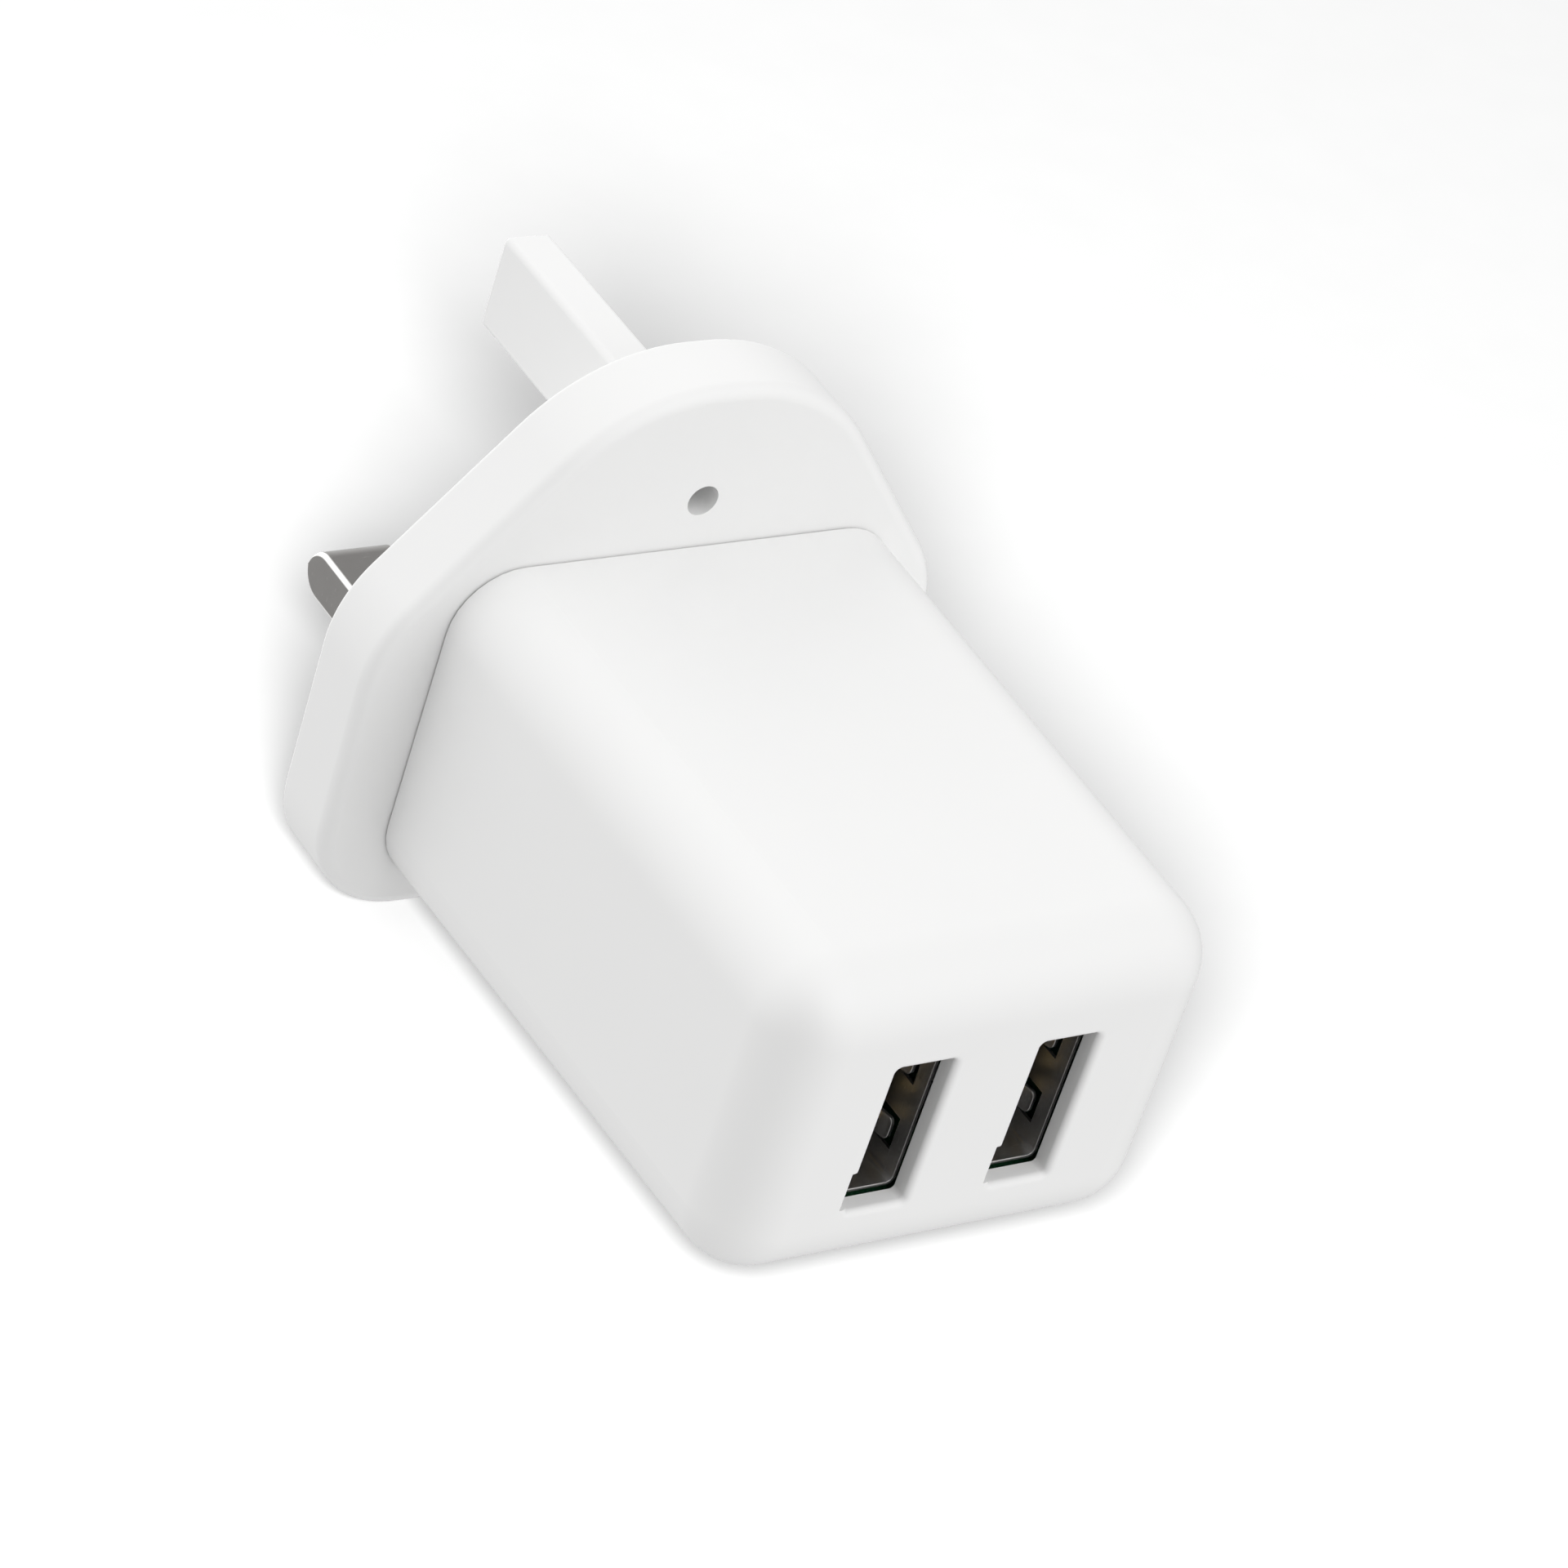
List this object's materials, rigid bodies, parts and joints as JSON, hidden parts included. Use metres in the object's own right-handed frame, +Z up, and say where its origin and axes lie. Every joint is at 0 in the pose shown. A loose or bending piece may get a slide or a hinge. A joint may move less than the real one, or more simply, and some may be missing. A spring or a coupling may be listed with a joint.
{
  "type": "usb wall charger",
  "caption": "Plug-top wall charger: pear-shaped flange with fixed pins, long rounded box body with upright USB-A ports in its front face.",
  "frame": {"origin": "midway between the live and neutral pin centres, on the flat face that meets the socket", "axes": "+Y along the pins into the wall (the ports face -Y), +Z up to the earth pin, +X to the right for someone facing the ports"},
  "size_m": [0.05, 0.0774, 0.0454],
  "materials": {
    "white_plastic": "white polycarbonate, fine satin gloss",
    "pin_sleeve_plastic": "white insulating sleeve, satin",
    "nickel_plated_brass": "nickel plate on brass, softly polished",
    "nickel_plated_steel": "nickel-plated sheet steel",
    "connector_insulator": "black glass-filled nylon",
    "gold_plated_contact": "gold flash on phosphor bronze",
    "tinned_tail": "tinned phosphor bronze",
    "contact_brass": "bare brass strip",
    "board_laminate": "glass-epoxy laminate, green solder mask",
    "ferrite": "sintered ferrite, ground faces",
    "bobbin_plastic": "black phenolic",
    "winding_tape": "yellow polyester tape over enamelled copper",
    "capacitor_sleeve": "dark heat-shrink sleeve on aluminium can",
    "resistor_enamel": "grey-green flameproof enamel",
    "disc_enamel": "blue epoxy dip",
    "chip_epoxy": "black moulding compound",
    "barrier_sheet": "black polycarbonate film"
  },
  "bodies": {
    "charger": {"body_shell": "white_plastic", "flange_housing": "white_plastic", "pin_plate": "white_plastic", "earth_pin": "white_plastic", "live_pin_sleeve": "pin_sleeve_plastic", "neutral_pin_sleeve": "pin_sleeve_plastic", "live_pin": "nickel_plated_brass", "neutral_pin": "nickel_plated_brass", "usb_shell_left": "nickel_plated_steel", "usb_shell_right": "nickel_plated_steel", "usb_tongue_left": "connector_insulator", "usb_tongue_right": "connector_insulator", "usb_contact_tails_left": "tinned_tail", "usb_contact_tails_right": "tinned_tail", "live_contact_strip": "contact_brass", "neutral_contact_strip": "contact_brass", "main_board": "board_laminate", "transformer_core": "ferrite", "filter_inductor": "ferrite", "transformer_bobbin": "bobbin_plastic", "transformer_winding": "winding_tape", "input_capacitors": "capacitor_sleeve", "output_capacitors": "capacitor_sleeve", "fusible_resistor": "resistor_enamel", "y_capacitor": "disc_enamel", "bridge_rectifier": "chip_epoxy", "power_controller": "chip_epoxy", "output_rectifier": "chip_epoxy", "port_controller": "chip_epoxy", "chip_parts": "chip_epoxy", "insulation_barrier": "barrier_sheet"},
    "contact_springs_left": {"usb_contacts_left": "gold_plated_contact"},
    "contact_springs_right": {"usb_contacts_right": "gold_plated_contact"}
  },
  "joints": [
    {"name": "contacts_left_flex", "type": "hinge", "parent": "charger", "child": "contact_springs_left", "pos_m": [-0.00689, -0.0427, 0.00326], "axis": [0, 0, -1], "range_deg": [0, 3], "stiffness_Nm_per_rad": 0.16},
    {"name": "contacts_right_flex", "type": "hinge", "parent": "charger", "child": "contact_springs_right", "pos_m": [0.00557, -0.0427, 0.00326], "axis": [0, 0, -1], "range_deg": [0, 3], "stiffness_Nm_per_rad": 0.16}
  ]
}
